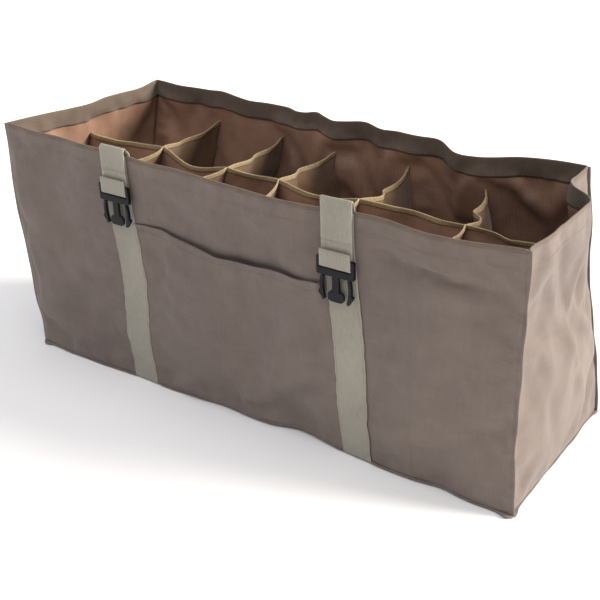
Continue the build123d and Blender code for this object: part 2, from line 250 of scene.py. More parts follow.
def right_moves(y, z):
    """Right end: its back third folds in at the rim, and a soft crease runs down from the fold."""
    fold = smooth(z, 262, 392)
    at_rim = curve(
        y,
        [(-152, 0), (-92, 17), (-40, 25), (5, 31), (33, 32), (50, 22), (74, 0), (94, -7)]
        + [(122, -4), (152, 0)],
    )
    below = curve(y, [(-152, 0), (-92, 10), (-20, 18), (60, 17), (110, 9), (152, 0)])
    belly = np.sin(np.pi * np.clip(z / RIM, 0, 1)) ** 0.8
    side = np.cos(0.5 * np.pi * y / HALF_Y) ** 0.6
    x = at_rim * fold + below * belly * (1 - fold)
    for start, end, width, height in (
        ((96, 400), (52, 262), 13, -7.0), ((40, 360), (-30, 130), 15, 4.5),
        ((78, 300), (6, 90), 13, -4.5), ((-84, 380), (-104, 210), 12, -3.5),
        ((-60, 300), (-86, 100), 14, 3.0), ((60, 215), (138, 110), 12, 6.5),
        ((118, 250), (92, 160), 10, -5.0), ((80, 30), (140, 100), 16, -5.0),
        ((-112, 392), (-30, 236), 9, 4.5), ((-70, 392), (20, 214), 9, -4.5),
        ((-20, 240), (50, 96), 11, 4.5), ((-96, 210), (-40, 60), 12, -4.0),
    ):
        x = x + side * ridge(y, z, start, end, width, height)
    z_move = curve(y, [(-152, 0), (-90, 3), (33, 1), (94, -3), (152, 0)]) * fold
    return np.stack([x, np.zeros_like(x), z_move], -1)


def side_grid(moves, a, first, last):
    """Total displacement over one side: its own moves, and its two corners' moves shared along it."""
    along, z = np.meshgrid(a, grid_z, indexing="ij")
    share = ((along - a[0]) / (a[-1] - a[0]))[..., None]
    return moves(along, z) + (1 - share) * first[None] + share * last[None]


corners = corner_moves(grid_z)
drape = {
    "front": side_grid(front_moves, grid_x, corners["front_left"], corners["front_right"]),
    "back": side_grid(back_moves, grid_x, corners["back_left"], corners["back_right"]),
    "left": side_grid(left_moves, grid_y, corners["front_left"], corners["back_left"]),
    "right": side_grid(right_moves, grid_y, corners["front_right"], corners["back_right"]),
}
JOINS = (
    ("front", 0, "left", 0), ("front", -1, "right", 0), ("back", 0, "left", -1), ("back", -1, "right", -1),
)
for first_side, first_end, other_side, other_end in JOINS:
    shared = (drape[first_side][first_end] + drape[other_side][other_end]) / 2
    drape[first_side][first_end] = shared
    drape[other_side][other_end] = shared

# The simulation moves no point further than about MOST_SLACK.
MOST_SLACK = 6.5
SLACK_FRAMES = 24


def wall_columns():
    """The side grids' upright columns once round the bag, as (side, index) pairs, each corner once."""
    columns = []
    for name, forward in (("front", True), ("right", True), ("back", False), ("left", False)):
        count = drape[name].shape[0]
        places = range(count - 1) if forward else range(count - 1, 0, -1)
        columns += [(name, i) for i in places]
    return columns


def straight_column(name, i):
    """Points of one column on the CAD's straight box."""
    line = np.zeros((len(grid_z), 3))
    line[:, 0] = grid_x[i] if name in ("front", "back") else {"left": -HALF_X, "right": HALF_X}[name]
    line[:, 1] = grid_y[i] if name in ("left", "right") else {"front": -HALF_Y, "back": HALF_Y}[name]
    line[:, 2] = grid_z
    return line


def held_share(columns):
    """How firmly the seams hold the walls: corners, rim, foot, straps, and a little the dividers."""
    held = np.full((len(columns), len(grid_z)), 0.02)
    for k, (name, i) in enumerate(columns):
        along_x = name in ("front", "back")
        place = abs(grid_x[i] if along_x else grid_y[i])
        held[k] = np.maximum(held[k], 0.9 * bump(place, HALF_X if along_x else HALF_Y, 12))
        if along_x:
            held[k] = np.maximum(held[k], 0.85 * bump(place, STRAP_X, 34))
            near = min(abs(grid_x[i] - divider) for divider in DIVIDERS)
            held[k] = np.maximum(held[k], 0.25 * bump(near, 0, 12))
    return np.maximum(held, np.maximum(bump(grid_z, 0, 14), bump(grid_z, RIM, 20))[None])


def slacken():
    """Cloth simulation of the four walls: a little spare cloth buckles between the seams that hold it."""
    columns = wall_columns()
    rest = np.stack([straight_column(name, i) + drape[name][i] for name, i in columns])
    rows, across = len(grid_z), len(columns)
    index = np.arange(across * rows).reshape(across, rows)
    ahead = np.roll(index, -1, axis=0)
    faces = np.stack([index[:, :-1], ahead[:, :-1], ahead[:, 1:], index[:, 1:]], -1).reshape(-1, 4)
    mesh = bpy.data.meshes.new("slack_walls")
    mesh.from_pydata((rest.reshape(-1, 3) * MM).tolist(), [], faces.tolist())
    walls = in_scene("slack_walls", mesh)
    held = held_share(columns)
    group = walls.vertex_groups.new(name="held")
    for k, share in enumerate(held.ravel()):
        group.add([k], float(share), "REPLACE")
    cloth = walls.modifiers.new("slack", "CLOTH")
    how = cloth.settings
    how.vertex_group_mass = "held"
    how.quality = 6
    how.mass = 0.25
    how.tension_stiffness = 30
    how.compression_stiffness = 30
    how.shear_stiffness = 12
    how.bending_stiffness = 6
    how.pin_stiffness = 0.6
    how.shrink_min = -0.03
    how.use_pressure = True
    how.uniform_pressure_force = 0.25
    how.effector_weights.gravity = 0
    cloth.collision_settings.use_collision = False
    for step in range(1, SLACK_FRAMES + 1):
        bpy.context.scene.frame_set(step)
    settled = walls.evaluated_get(bpy.context.evaluated_depsgraph_get()).to_mesh()
    moved = np.zeros(across * rows * 3, np.float32)
    settled.vertices.foreach_get("co", moved)
    change = moved.reshape(across, rows, 3).astype(float) / MM - rest
    size = np.linalg.norm(change, axis=-1, keepdims=True)
    change = change * (MOST_SLACK * np.tanh(size / MOST_SLACK) / np.maximum(size, 1e-9))
    change = change * (1 - held)[..., None]
    bpy.data.objects.remove(walls)
    for k, (name, i) in enumerate(columns):
        drape[name][i] += change[k]
    bpy.context.scene.frame_set(1)
    for first_side, first_end, other_side, other_end in JOINS:
        source, target = ((first_side, first_end), (other_side, other_end))
        if (first_side, first_end) in (("front", -1), ("back", 0)):
            source, target = target, source
        drape[target[0]][target[1]] = drape[source[0]][source[1]]


slacken()

# The walls may not bulge into the tails and buckle halves that hang on them.
for tail_name in ("left_front_tail", "right_front_tail"):
    tail_low, tail_high = node_box(tail_name)
    behind = bump(grid_x, (tail_low[0] + tail_high[0]) / 2, 58) ** 0.4
    behind = behind[:, None] * smooth(grid_z, 180, 250)[None]
    drape["front"][..., 1] -= np.minimum(drape["front"][..., 1] + 4.0, 0) * behind
back_x = grid_x[:, None] + drape["back"][..., 0]
hung_on = bump(np.abs(back_x), STRAP_X, 60) ** 0.4 * smooth(grid_z, 150, 240)[None]
drape["back"][..., 1] -= np.maximum(drape["back"][..., 1] + 0.5, 0) * hung_on


def taps(t, count):
    """The four grid points round each place t (0 to 1) and their Catmull-Rom weights."""
    place = np.clip(t, 0, 1) * (count - 1)
    i = np.clip(np.floor(place).astype(int), 0, count - 2)
    f = place - i
    weights = np.stack(
        [
            0.5 * (-f + 2 * f * f - f ** 3),
            0.5 * (2 - 5 * f * f + 3 * f ** 3),
            0.5 * (f + 4 * f * f - 3 * f ** 3),
            0.5 * (-f * f + f ** 3),
        ],
        -1,
    )
    return np.clip(i[..., None] + np.arange(-1, 3), 0, count - 1), weights


def sampled(grid, a, b):
    """The grid's smooth values at places a and b, each 0 to 1."""
    ia, wa = taps(a, grid.shape[0])
    ib, wb = taps(b, grid.shape[1])
    values = grid[ia[..., :, None], ib[..., None, :]]
    return np.einsum("...i,...j,...ijk->...k", wa, wb, values)


def draped(points):
    """Moves points on or near the CAD box to where the slack cloth hangs."""
    points = np.asarray(points, float)
    u = (points[..., 0] + HALF_X) / (2 * HALF_X)
    v = (points[..., 1] + HALF_Y) / (2 * HALF_Y)
    s = points[..., 2] / RIM
    ends = np.zeros_like(u)
    move = (1 - v)[..., None] * sampled(drape["front"], u, s)
    move += v[..., None] * sampled(drape["back"], u, s)
    move += (1 - u)[..., None] * sampled(drape["left"], v, s)
    move += u[..., None] * sampled(drape["right"], v, s)
    move -= ((1 - u) * (1 - v))[..., None] * sampled(drape["front"], ends, s)
    move -= (u * (1 - v))[..., None] * sampled(drape["front"], ends + 1, s)
    move -= ((1 - u) * v)[..., None] * sampled(drape["back"], ends, s)
    move -= (u * v)[..., None] * sampled(drape["back"], ends + 1, s)
    return points + move


def draped_upright(points):
    """As draped, but each point keeps its own x: webbing that hangs straight down a slanting wall."""
    points = np.asarray(points, float)
    guess = points.copy()
    for _ in range(4):
        guess[..., 0] -= draped(guess)[..., 0] - points[..., 0]
    return draped(guess)


# ---------------------------------------------------------------- materials


def colour(red, green, blue):
    """Linear colour from the 0 to 255 scale that pictures use."""
    shares = [c / 255 for c in (red, green, blue)]
    return tuple(c / 12.92 if c <= 10 / 255 else ((c + 0.055) / 1.055) ** 2.4 for c in shares) + (1.0,)


class Nodes:
    """Short way to add shader nodes: values and links go in by socket name."""

    def __init__(self, name):
        self.material = bpy.data.materials.new(name)
        self.material.use_nodes = True
        self.tree = self.material.node_tree
        self.shader = self.tree.nodes["Principled BSDF"]

    def add(self, kind, inputs=(), **settings):
        made = self.tree.nodes.new("ShaderNode" + kind)
        for key, value in settings.items():
            setattr(made, key, value)
        for key, value in dict(inputs).items():
            self.put(made, key, value)
        return made

    def put(self, target, key, value):
        if isinstance(value, bpy.types.NodeSocket):
            self.tree.links.new(value, target.inputs[key])
        else:
            target.inputs[key].default_value = value

    def math(self, operation, a, b=0.0, c=0.0):
        return self.add("Math", {0: a, 1: b, 2: c}, operation=operation).outputs[0]

    def noise(self, vector, scale, detail=2.0, roughness=0.5):
        inputs = {"Vector": vector, "Scale": scale, "Detail": detail, "Roughness": roughness}
        return self.add("TexNoise", inputs).outputs["Fac"]

    def remap(self, value, low, high, to_low=0.0, to_high=1.0):
        inputs = {"Value": value, "From Min": low, "From Max": high, "To Min": to_low, "To Max": to_high}
        return self.add("MapRange", inputs).outputs["Result"]

    def mix(self, amount, a, b, blend="MIX"):
        made = self.add("Mix", data_type="RGBA", blend_type=blend)
        self.put(made, 0, amount)
        self.put(made, 6, a)
        self.put(made, 7, b)
        return made.outputs[2]

    def scaled(self, vector, x, y, z=1.0):
        return self.add("Mapping", {"Vector": vector, "Scale": (x, y, z)}).outputs["Vector"]

    def shade(self, **values):
        for key, value in values.items():
            self.put(self.shader, key.replace("_", " "), value)


def cloth_coordinates(nodes):
    """The cloth's own width and length in metres, and the place in space."""
    flat = nodes.add("UVMap", uv_map="cloth").outputs["UV"]
    split = nodes.add("SeparateXYZ", {0: flat})
    space = nodes.add("TexCoord").outputs["Object"]
    return flat, split.outputs[0], split.outputs[1], space


def woven(name, base, shade, light, pitch=0.9, rough=0.8, sheen=0.15, relief=0.5, coat=0.0, wear=0.35):
    """Plain-woven fabric: yarns over and under with painted shade where they dip, slubs, faded and dusty
    patches, rubbed edges.
    """
    nodes = Nodes(name)
    flat, across, along, space = cloth_coordinates(nodes)
    turns = 2 * math.pi / (2 * pitch * MM)
    wave_a = nodes.math("SINE", nodes.math("MULTIPLY", across, turns))
    wave_b = nodes.math("SINE", nodes.math("MULTIPLY", along, turns))
    weave = nodes.math("MULTIPLY", wave_a, wave_b)
    slub_a = nodes.noise(nodes.scaled(flat, 900, 22), 1.0, 2.0)
    slub_b = nodes.noise(nodes.scaled(flat, 22, 900), 1.0, 2.0)
    slubs = nodes.math("ADD", slub_a, slub_b)
    height = nodes.math("MULTIPLY_ADD", weave, 0.5, slubs)
    patches = nodes.noise(space, 4.5, 4.0, 0.6)
    mottle = nodes.noise(space, 38.0, 5.0, 0.62)
    fine = nodes.noise(space, 420.0, 2.0)
    tone = nodes.mix(nodes.remap(patches, 0.34, 0.68), shade, base)
    tone = nodes.mix(nodes.remap(mottle, 0.35, 0.8, 0.0, 0.32), tone, light)
    tone = nodes.mix(nodes.remap(slubs, 0.75, 1.3, 0.0, 0.30), tone, light)
    # Painted shade: the weave's low points are darkened towards the shade colour.
    tone = nodes.mix(nodes.remap(weave, -1.0, 1.0, 0.22, 0.0), tone, shade)
    edge = nodes.add("Attribute", attribute_name="edge").outputs["Fac"]
    rubbed = nodes.math("MULTIPLY", edge, nodes.remap(mottle, 0.36, 0.66))
    tone = nodes.mix(nodes.math("MULTIPLY", rubbed, wear), tone, light)
    roughness = nodes.remap(fine, 0.3, 0.7, rough - 0.06, rough + 0.08)
    nap = nodes.add("Bump", {"Strength": relief, "Distance": 0.00025, "Height": height})
    puckers = nodes.noise(space, 26.0, 3.0, 0.55)
    pucker_inputs = {"Strength": 0.35, "Distance": 0.0016, "Height": puckers, "Normal": nap.outputs[0]}
    nodes.shade(Base_Color=tone, Roughness=roughness, Normal=nodes.add("Bump", pucker_inputs).outputs[0])
    nodes.shade(Sheen_Weight=sheen, Sheen_Roughness=0.5, Coat_Weight=coat, Coat_Roughness=0.45)
    nodes.shade(Specular_IOR_Level=0.35)
    return nodes.material


def ribbed(name, base, shade, light, rib=1.6, column=3.2, rough=0.7):
    """Webbing: rows of ribs that step sideways from column to column, painted shade in the grooves between
    ribs, and rubbed and soiled stretches.
    """
    nodes = Nodes(name)
    flat, across, along, space = cloth_coordinates(nodes)
    columns = nodes.math("SINE", nodes.math("MULTIPLY", across, 2 * math.pi / (column * MM)))
    step = nodes.math("MULTIPLY", nodes.math("SIGN", columns), 0.5 * math.pi)
    rows = nodes.math("SINE", nodes.math("MULTIPLY_ADD", along, 2 * math.pi / (rib * MM), step))
    height = nodes.math("MULTIPLY_ADD", nodes.math("ABSOLUTE", columns), 0.6, rows)
    patches = nodes.noise(space, 9.0, 4.0, 0.6)
    yarn = nodes.noise(nodes.scaled(flat, 700, 60), 1.0, 3.0)
    fine = nodes.noise(space, 260.0, 3.0, 0.6)
    tone = nodes.mix(nodes.remap(patches, 0.35, 0.7), shade, base)
    tone = nodes.mix(nodes.remap(yarn, 0.4, 0.75, 0.0, 0.45), tone, light)
    # Painted shade: the grooves, where the rib height is low, are darkened towards the shade colour.
    tone = nodes.mix(nodes.remap(height, -1.0, 1.4, 0.34, 0.0), tone, shade)
    edge = nodes.add("Attribute", attribute_name="edge").outputs["Fac"]
    tone = nodes.mix(nodes.math("MULTIPLY", edge, nodes.remap(fine, 0.35, 0.7, 0.1, 0.6)), tone, light)
    nap = nodes.add("Bump", {"Strength": 0.65, "Distance": 0.00035, "Height": height})
    fuzz = nodes.add("Bump", {"Strength": 0.25, "Distance": 0.0002, "Height": fine, "Normal": nap.outputs[0]})
    nodes.shade(Base_Color=tone, Roughness=nodes.remap(fine, 0.3, 0.7, rough - 0.05, rough + 0.1))
    nodes.shade(Normal=fuzz.outputs[0], Sheen_Weight=0.2, Sheen_Roughness=0.45, Specular_IOR_Level=0.35)
    return nodes.material


def moulded(name, base, light):
    """Black moulded plastic: fine spark texture, faint flow marks, brighter rubbed edges."""
    nodes = Nodes(name)
    space = nodes.add("TexCoord").outputs["Object"]
    grain = nodes.noise(space, 2600.0, 2.0)
    flow = nodes.noise(nodes.scaled(space, 40, 40, 160), 1.0, 3.0)
    scuffs = nodes.noise(nodes.scaled(space, 300, 300, 1100), 1.0, 4.0, 0.7)
    edges = nodes.remap(nodes.add("NewGeometry").outputs["Pointiness"], 0.52, 0.60)
    tone = nodes.mix(nodes.remap(flow, 0.3, 0.75, 0.0, 0.35), base, light)
    worn = nodes.math("MULTIPLY", edges, nodes.remap(scuffs, 0.3, 0.7, 0.25, 1.0))
    tone = nodes.mix(nodes.math("MULTIPLY", worn, 0.5), tone, light)
    nap = nodes.add("Bump", {"Strength": 0.22, "Distance": 0.00008, "Height": grain})
    nodes.shade(Base_Color=tone, Roughness=nodes.remap(scuffs, 0.3, 0.75, 0.40, 0.58))
    nodes.shade(Normal=nap.outputs[0], Specular_IOR_Level=0.22)
    return nodes.material


def twisted(name, base, light):
    """Sewing thread: plies that wind round it."""
    nodes = Nodes(name)
    space = nodes.add("TexCoord").outputs["Object"]
    plies = nodes.noise(nodes.scaled(space, 1800, 1800, 900), 1.0, 2.0)
    tone = nodes.mix(nodes.remap(plies, 0.35, 0.65), base, light)
    nap = nodes.add("Bump", {"Strength": 0.4, "Distance": 0.0001, "Height": plies})
    nodes.shade(Base_Color=tone, Roughness=nodes.remap(plies, 0.3, 0.7, 0.5, 0.7), Normal=nap.outputs[0])
    nodes.shade(Sheen_Weight=0.2)
    return nodes.material


SHELL = woven("shell_cloth", colour(108, 97, 90), colour(93, 82, 79), colour(134, 120, 109))
LINING = woven(
    "lining_coat", colour(154, 119, 98), colour(112, 84, 71), colour(184, 150, 126),
    rough=0.5, sheen=0.05, relief=0.35, coat=0.12, wear=0.2,
)
HEM = woven("hem_cloth", colour(98, 85, 74), colour(82, 70, 63), colour(122, 107, 90))
DIVIDER = woven("divider_cloth", colour(120, 94, 68), colour(94, 70, 54), colour(144, 116, 84))
TAPE = ribbed(
    "binding_tape", colour(164, 143, 102), colour(136, 116, 82), colour(192, 172, 132), rib=1.1, column=2.0
)
STRAP = ribbed("webbing_weave", colour(158, 153, 140), colour(138, 133, 121), colour(178, 173, 161))
PLASTIC = moulded("buckle_plastic_black", colour(7, 8, 12), colour(22, 25, 38))
THREAD = twisted("thread_ply", colour(104, 93, 83), colour(132, 119, 105))


# ---------------------------------------------------------------- mesh builders


def mesh_object(name, vertices, faces, materials, cloth=None, edge=None):
    """A smooth-shaded mesh from millimetre points, with cloth coordinates and edge wear for each vertex."""
    mesh = bpy.data.meshes.new(name)
    mesh.from_pydata((vertices * MM).tolist(), [], faces)
    mesh.polygons.foreach_set("use_smooth", np.ones(len(mesh.polygons), bool))
    if cloth is not None:
        layer = mesh.uv_layers.new(name="cloth")
        loops = np.zeros(len(mesh.loops), np.int32)
        mesh.loops.foreach_get("vertex_index", loops)
        layer.uv.foreach_set("vector", (cloth[loops] * MM).astype(np.float32).ravel())
    if edge is not None:
        attribute = mesh.attributes.new("edge", "FLOAT", "POINT")
        attribute.data.foreach_set("value", edge.astype(np.float32).ravel())
    for material in materials:
        mesh.materials.append(material)
    mesh.update()
    return in_scene(name, mesh)


def run_along(points):
    """Distance along a line of points, from its start to each of them."""
    return np.concatenate([[0], np.cumsum(np.linalg.norm(np.diff(points, axis=0), axis=1))])


def resampled(at, run, points):
    """Points at other distances along a line."""
    return np.stack([np.interp(at, run, points[:, k]) for k in range(points.shape[1])], -1)


def lengths(points, axis):
    """Distance along one axis of a point grid, averaged over the other."""
    step = np.linalg.norm(np.diff(points, axis=axis), axis=-1)
    step = step.mean(axis=1 - axis)
    return np.concatenate([[0], np.cumsum(step)])


def finish_piece(made, node_names, body="bag"):
    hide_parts(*node_names)
    if body:
        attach(made, body)


def cloth_piece(name, flat_points, materials, thickness=CLOTH, offset=-1.0, edge_width=12.0):
    """A sheet of cloth over a grid of points on the CAD's shape. Returns it and its flat size in metres."""
    rows, columns = flat_points.shape[:2]
    first = lengths(flat_points, 0)
    second = lengths(flat_points, 1)
    cloth = np.stack(np.meshgrid(first, second, indexing="ij"), -1).reshape(-1, 2)
    from_edge = np.minimum(cloth, np.array([first[-1], second[-1]]) - cloth).min(axis=1)
    edge = np.exp(-from_edge / edge_width)
    index = np.arange(rows * columns).reshape(rows, columns)
    faces = np.stack([index[:-1, :-1], index[1:, :-1], index[1:, 1:], index[:-1, 1:]], -1).reshape(-1, 4)
    made = mesh_object(name, draped(flat_points).reshape(-1, 3), faces.tolist(), materials, cloth, edge)
    solid = made.modifiers.new("thickness", "SOLIDIFY")
    solid.thickness = thickness * MM
    solid.offset = offset
    solid.use_even_offset = True
    solid.material_offset = len(materials) - 1
    solid.material_offset_rim = 0
    return made, (first[-1] * MM, second[-1] * MM)


def steps(low, high, size):
    """Even steps of about the given size from low to high."""
    return np.linspace(low, high, max(2, int(round((high - low) / size)) + 1))


def rounded(width, height, turns=3):
    """Closed outline of a flat strip with rounded long edges, as (across, out) pairs."""
    radius = height / 2
    across = np.linspace(-(width / 2 - radius), width / 2 - radius, 9)
    angles = np.linspace(-np.pi / 2, np.pi / 2, turns + 2)[1:-1]
    right = np.stack([width / 2 - radius + radius * np.cos(angles), radius * np.sin(angles)], -1)
    left = np.stack([-(width / 2 - radius) - radius * np.cos(angles), radius * np.sin(angles)], -1)[::-1]
    low = np.stack([across, np.full(9, -radius)], -1)
    high = np.stack([across[::-1], np.full(9, radius)], -1)
    return np.concatenate([low, right, high, left])


def swept(name, centres, across, out, outline, materials, hang=True, scale=None):
    """A closed strip, its outline swept along centres. Returns it and its length in metres."""
    across = np.broadcast_to(np.asarray(across, float), centres.shape)
    out = np.broadcast_to(np.asarray(out, float), centres.shape)
    grow = np.ones((len(centres), 2)) if scale is None else scale
    rings = (
        centres[:, None]
        + across[:, None] * (outline[None, :, 0] * grow[:, None, 0])[..., None]
        + out[:, None] * (outline[None, :, 1] * grow[:, None, 1])[..., None]
    )
    count, sides = rings.shape[:2]
    run = run_along(centres)
    points = draped(rings) if hang else rings
    index = np.arange(count * sides).reshape(count, sides)
    ahead = np.roll(index, -1, axis=1)
    faces = np.stack([index[:-1], ahead[:-1], ahead[1:], index[1:]], -1).reshape(-1, 4).tolist()
    faces.append(index[0][::-1].tolist())
    faces.append(index[-1].tolist())
    cloth = np.stack(np.broadcast_arrays(outline[None, :, 0], run[:, None]), -1).reshape(-1, 2)
    reach = np.abs(outline[:, 0]).max()
    edge = np.broadcast_to(np.exp(-(reach - np.abs(outline[None, :, 0])) / 2.5), (count, sides))
    return mesh_object(name, points.reshape(-1, 3), faces, materials, cloth, edge), run[-1] * MM


def joined(name, parts):
    """Several meshes as one piece."""
    chosen = {"active_object": parts[0], "selected_editable_objects": parts, "selected_objects": parts}
    with bpy.context.temp_override(**chosen):
        bpy.ops.object.join()
    parts[0].name = name
    parts[0].data.name = name
    return parts[0]


# One stitch is a short bent rod of thread that dips into the cloth at both ends.
THREAD_RADIUS = 0.32
THREAD_SIDES = 6
STITCH_PITCH = 4.6
STITCH_LENGTH = 3.5


def stitch_rows(name, rows):
    """Thread in short stitches along rows; each row is (points, outward), on the cloth's surface."""
    vertices = []
    faces = []
    made_so_far = 0
    angles = np.linspace(0, 2 * np.pi, THREAD_SIDES, endpoint=False)
    ring_at = np.array([0.0, 0.14, 0.5, 0.86, 1.0])
    ring_size = np.array([0.35, 0.85, 1.0, 0.85, 0.35])
    ring_lift = np.array([-0.3, 0.35, 0.6, 0.35, -0.3])
    for points, outward in rows:
        outward = np.broadcast_to(np.asarray(outward, float), points.shape)
        run = run_along(points)
        starts = np.arange(0.5 * (STITCH_PITCH - STITCH_LENGTH), run[-1] - STITCH_LENGTH, STITCH_PITCH)
        at = starts[:, None] + ring_at[None] * STITCH_LENGTH
        centre = resampled(at, run, points)
        normal = resampled(at, run, outward)
        heading = centre[:, -1:] - centre[:, :1]
        heading = heading / np.linalg.norm(heading, axis=-1, keepdims=True)
        sideways = np.cross(np.broadcast_to(heading, normal.shape), normal)
        centre = centre + normal * (THREAD_RADIUS * ring_lift)[None, :, None]
        radius = (THREAD_RADIUS * ring_size)[None, :, None, None]
        ring = (
            centre[:, :, None]
            + radius * np.cos(angles)[None, None, :, None] * sideways[:, :, None]
            + radius * np.sin(angles)[None, None, :, None] * normal[:, :, None]
        )
        index = made_so_far + np.arange(ring[..., 0].size).reshape(ring.shape[:-1])
        made_so_far += index.size
        ahead = np.roll(index, -1, axis=2)
        quads = np.stack([index[:, :-1], ahead[:, :-1], ahead[:, 1:], index[:, 1:]], -1)
        vertices.append(draped(ring).reshape(-1, 3))
        faces += quads.reshape(-1, 4).tolist()
        faces += index[:, 0, ::-1].tolist() + index[:, -1].tolist()
    made = mesh_object(name, np.concatenate(vertices), faces, [THREAD])
    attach(made, "bag")
    return made


# ---------------------------------------------------------------- shell

# The shell's grid step, and how far its cloth ends below the rim, under the hem.
FINE = 6.0
TOP_GAP = 1.2


def wall(along, across_value, z_values, swap):
    """Grid of points on an upright side: along x at one y, or along y at one x where swap is set."""
    a, z = np.meshgrid(along, z_values, indexing="ij")
    other = np.full_like(a, across_value)
    return np.stack([other, a, z] if swap else [a, other, z], -1)


shell_z = steps(FLOOR - 0.4, RIM - TOP_GAP, FINE)
shell_x = steps(-HALF_X, HALF_X, FINE)
shell_y = steps(-INNER_Y, INNER_Y, FINE)
shell = {}
for side_name, along, other, swap in (
    ("front", shell_x, -HALF_Y, False), ("back", shell_x[::-1], HALF_Y, False),
    ("left_end", shell_y[::-1], -HALF_X, True), ("right_end", shell_y, HALF_X, True),
):
    shell[side_name] = cloth_piece(f"{side_name}_cloth", wall(along, other, shell_z, swap), [SHELL, LINING])
floor_x, floor_y = np.meshgrid(steps(-HALF_X, HALF_X, 12), steps(-HALF_Y, HALF_Y, 12)[::-1], indexing="ij")
floor_points = np.stack([floor_x, floor_y, np.full_like(floor_x, FLOOR - CLOTH)], -1)
shell["bottom"] = cloth_piece("bottom_cloth", floor_points, [SHELL, LINING])


def hem_profile(outer, inner):
    """Hem's run from just outside the rim, over it and down the inside, as (outward, height) pairs."""
    middle, radius = (outer + inner) / 2, (outer - inner) / 2
    turn = np.linspace(0, np.pi, 9)
    over = np.stack([middle + radius * np.cos(turn), RIM - radius + radius * np.sin(turn)], -1)
    down = steps(HEM_LOW, RIM - radius, 5.0)[::-1][1:]
    inside = np.stack([np.full(len(down), inner), down], -1)
    start = np.array([[outer, RIM - 6.0], [outer, RIM - 3.5]])
    return np.concatenate([start, over, inside])


def hem_points(along, outer, inner, direction, swap):
    """Grid of a hem along one side of the bag; direction is the way that side faces."""
    profile = hem_profile(outer, inner)
    a = np.repeat(along[:, None], len(profile), 1)
    out = np.repeat(direction * profile[None, :, 0], len(along), 0)
    z = np.repeat(profile[None, :, 1], len(along), 0)
    return np.stack([out, a, z] if swap else [a, out, z], -1)


# Half the hem's thickness keeps its cloth just outside the panel it covers.
HEM_CLOTH = 0.5
HEM_PROUD = HEM_CLOTH / 2
hem_x = steps(-INNER_X, INNER_X, FINE)
hem_y = steps(-HEM_Y, HEM_Y, FINE)
hems = {}
for side_name, node_name, along, outer, inner, direction, swap in (
    ("front", "front_hem", hem_x, HALF_Y, HEM_Y, -1, False),
    ("back", "back_hem", hem_x[::-1], HALF_Y, HEM_Y, 1, False),
    ("left", "left_end_hem", hem_y[::-1], HALF_X, HEM_X, -1, True),
    ("right", "right_end_hem", hem_y, HALF_X, HEM_X, 1, True),
):
    grid = hem_points(along, outer + HEM_PROUD, inner + HEM_PROUD, direction, swap)
    hems[side_name] = cloth_piece(f"{side_name}_hem_cloth", grid, [HEM], HEM_CLOTH, 0.0, edge_width=4)
    finish_piece(hems[side_name][0], [node_name])
for side_name, (cloth, _) in shell.items():
    finish_piece(cloth, [f"{side_name}_panel"])

# Turned seams: the allowances of two panels stand out at each corner, pressed flat.
WELT_WIDTH = 5.2
seam_parts = []
seam_z = steps(FLOOR, RIM - 1.0, 7.0)
for k, (side_x, side_y) in enumerate(((-1, -1), (1, -1), (-1, 1), (1, 1))):
    reach = SEAM_X - HALF_X + 1.2 + 0.7 * np.sin(seam_z / 31.0 + k) + 0.5 * np.sin(seam_z / 12.0 + 2 * k)
    centre_x = side_x * (HALF_X - 0.6 + reach / 2)
    lean = 0.5 * np.sin(seam_z / 24.0 + 1.7 * k)
    centres = np.stack([centre_x, side_y * (HALF_Y - 1.3) + lean, seam_z], -1)
    scale = np.stack([reach / 4.0, np.ones_like(reach)], -1)
    across, out = (side_x, 0, 0), (0, -side_y, 0)
    outline = rounded(WELT_WIDTH, 2.4)
    part, _ = swept(f"corner_seam_{k}", centres, across, out, outline, [SHELL], scale=scale)
    seam_parts.append(part)
corner_seams = joined("corner_seam_welts", seam_parts)
finish_piece(corner_seams, ["corner_seams"])


def bottom_welt(name, path, outward):
    """Seam allowance along the bottom edge, longer where two seams meet in an ear at a corner."""
    path = np.array(path, float)
    run = run_along(path)
    at = steps(0, run[-1], 7.0)
    points = resampled(at, run, path)
    out = resampled(at, run, np.array(outward, float))
    out = out / np.linalg.norm(out, axis=1, keepdims=True)
    ears = np.zeros(len(points))
    for side_x in (-1, 1):
        for side_y in (-1, 1):
            away = np.hypot(points[:, 0] - side_x * HALF_X, points[:, 1] - side_y * HALF_Y)
            ears += 8.5 * np.exp(-((away / 12.0) ** 2))
    reach = 2.4 + 0.5 * np.sin(at / 29.0) + 0.4 * np.sin(at / 11.0) + ears
    centres = points + out * (reach / 2 - 0.8)[:, None]
    scale = np.stack([reach / 4.0, np.ones_like(reach)], -1)
    return swept(name, centres, out, (0, 0, 1), rounded(WELT_WIDTH, 2.2), [SHELL], scale=scale)[0]


WELT_Z = FLOOR + 0.4
welts = []
for side in (-1, 1):
    x = side * HALF_X
    strap_edge = side * (STRAP_OUT + 0.5)
    turn = 8.0
    path = [(strap_edge, -HALF_Y, WELT_Z), (x - side * turn, -HALF_Y, WELT_Z), (x, -HALF_Y + turn, WELT_Z)]
    path += [(x, HALF_Y - turn, WELT_Z), (x - side * turn, HALF_Y, WELT_Z), (strap_edge, HALF_Y, WELT_Z)]
    outward = [(0, -1, 0), (0.3 * side, -1, 0), (side, -0.3, 0)]
    outward += [(side, 0.3, 0), (0.3 * side, 1, 0), (0, 1, 0)]
    welts.append(bottom_welt(f"bottom_welt_{side}", path, outward))
    inner = STRAP_IN - 0.5
    path = [(-inner, side * HALF_Y, WELT_Z), (inner, side * HALF_Y, WELT_Z)]
    welts.append(bottom_welt(f"bottom_welt_mid_{side}", path, [(0, side, 0), (0, side, 0)]))
bottom_seams = joined("bottom_seam_welts", welts)
finish_piece(bottom_seams, ["bottom_seams"])

# ---------------------------------------------------------------- pocket


def pocket_edge(x):
    """How far the pocket's mouth rises or droops from the CAD's level edge."""
    return curve(
        x, [(-195, 7), (-150, 8), (-110, 5), (-70, -2), (-30, -6), (30, -6), (90, -5), (150, -4), (195, -2)]
    )


